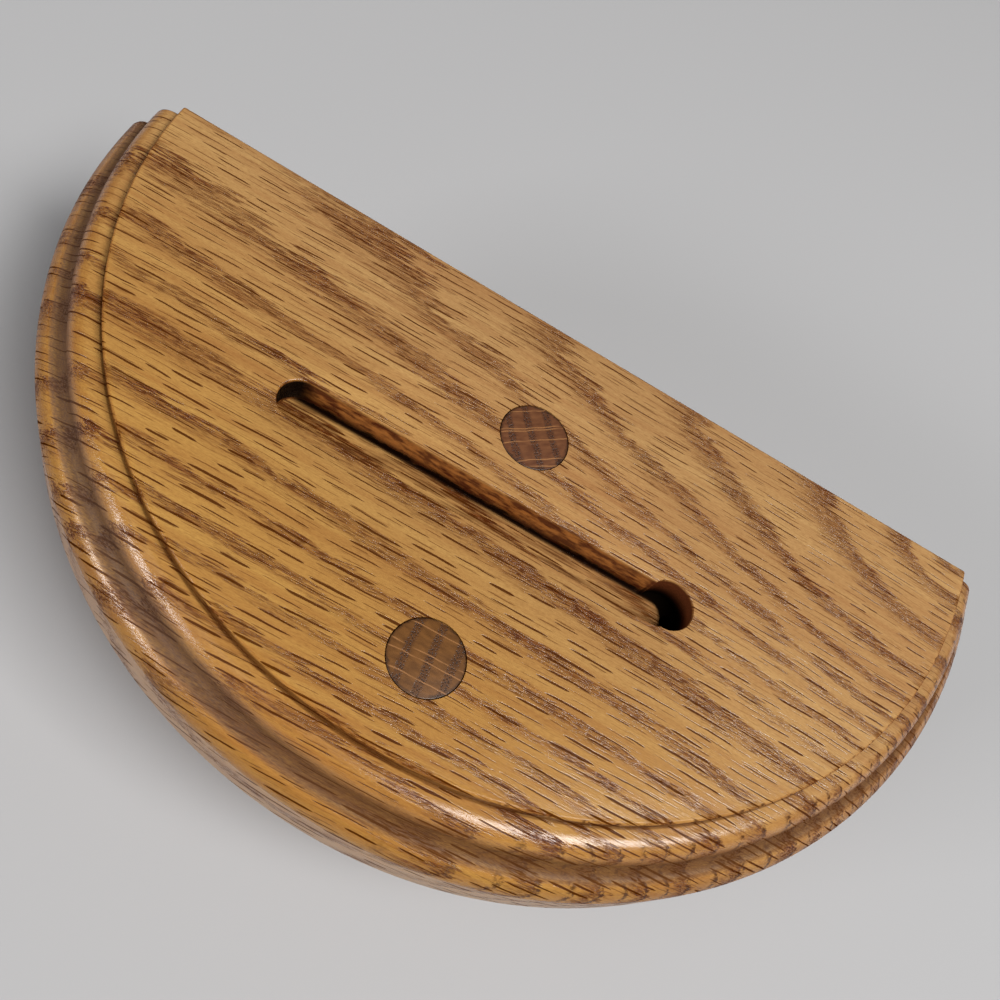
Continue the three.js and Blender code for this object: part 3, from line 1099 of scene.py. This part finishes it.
# %% Turn the screws
core_radius, shank_radius, head_radius = 1.5, 2.1, 4.0
screw_tip, thread_top, head_top = 8.6, 21.8, 33.7
screw_section = [(0, screw_tip), (0.35, screw_tip + 0.4), (1.4, screw_tip + 3)]
screw_section += [(core_radius, screw_tip + 3.8), (core_radius, thread_top)]
screw_section += [(shank_radius, thread_top + 0.6), (shank_radius, screw_seat)]
screw_section += [(head_radius, head_top - 0.4), (head_radius, head_top - 0.1)]
screw_section += [(head_radius - 0.1, head_top), (0, head_top)]
for label, place in plug_places.items():
    screw = turned("screw_threaded_" + label, screw_section, place, 32, zinc, tree=threaded)
    smooth(screw)
    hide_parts("screw_" + label)
    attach(screw, "root")
    measure(screw)

# %% [markdown]
# ## Felt pads
# Three stick-on discs of felt keep the stand from scratching a mantel. Felt is cut with a punch, so
# its rim is upright but soft, and the load flattens its underside. The places come from the imported
# pads, so a pad that is moved there moves here too.

# %% Turn the pads
pad_radius, pad_height, pad_taper = 7, 2.5, 0.05
lower_round, upper_round = 0.45, 0.5
upper_radius = pad_radius - pad_taper - upper_round
lower_middle, upper_middle = pad_radius - lower_round, pad_height - upper_round
pad_section = [(0, 0), (pad_radius - 0.4, 0)]
pad_section += arc((lower_middle, lower_round), (lower_round, lower_round), -80, 0, 4)
pad_section += arc((upper_radius, upper_middle), (upper_round, upper_round), 0, 80, 4)
pad_section += [(upper_radius, pad_height), (0, pad_height)]
for label in ("left", "right", "front"):
    low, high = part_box("pad_" + label)
    middle = (low + high) * 500
    pad = turned("felt_" + label, pad_section, (middle.x, middle.y), 48, felt, low.z * 1000)
    smooth(pad)
    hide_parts("pad_" + label)
    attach(pad, "root")
    measure(pad)

# %% [markdown]
# ## The table
# The floor is a plain pale sheet. Its only jobs are to give the photograph's grey and to take the
# shadow, so it is one large face with a matt finish.

# %% Lay the floor
floor_reach, floor_drop = 1.3, 0.0001
floor_mesh = bpy.data.meshes.new("floor")
corners = [(x * floor_reach, y * floor_reach, -floor_drop) for x, y in ((-1, -1), (1, -1), (1, 1), (-1, 1))]
floor_mesh.from_pydata(corners, [], [(0, 1, 2, 3)])
floor = bpy.data.objects.new("floor", floor_mesh)
bpy.context.scene.collection.objects.link(floor)
pale = bpy.data.materials.new("pale_cloth")
pale.use_nodes = True
matt = pale.node_tree.nodes["Principled BSDF"].inputs
matt["Base Color"].default_value = (0.485, 0.483, 0.489, 1)
matt["Roughness"].default_value = 1.0
matt["Specular IOR Level"].default_value = 0.0
floor_mesh.materials.append(pale)
floor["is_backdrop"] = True
print("the floor reaches", floor_reach, "m each way")

# %% Measure the size
low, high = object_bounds()
print("dressed part measures", [round(1000 * s, 2) for s in high - low], "mm")
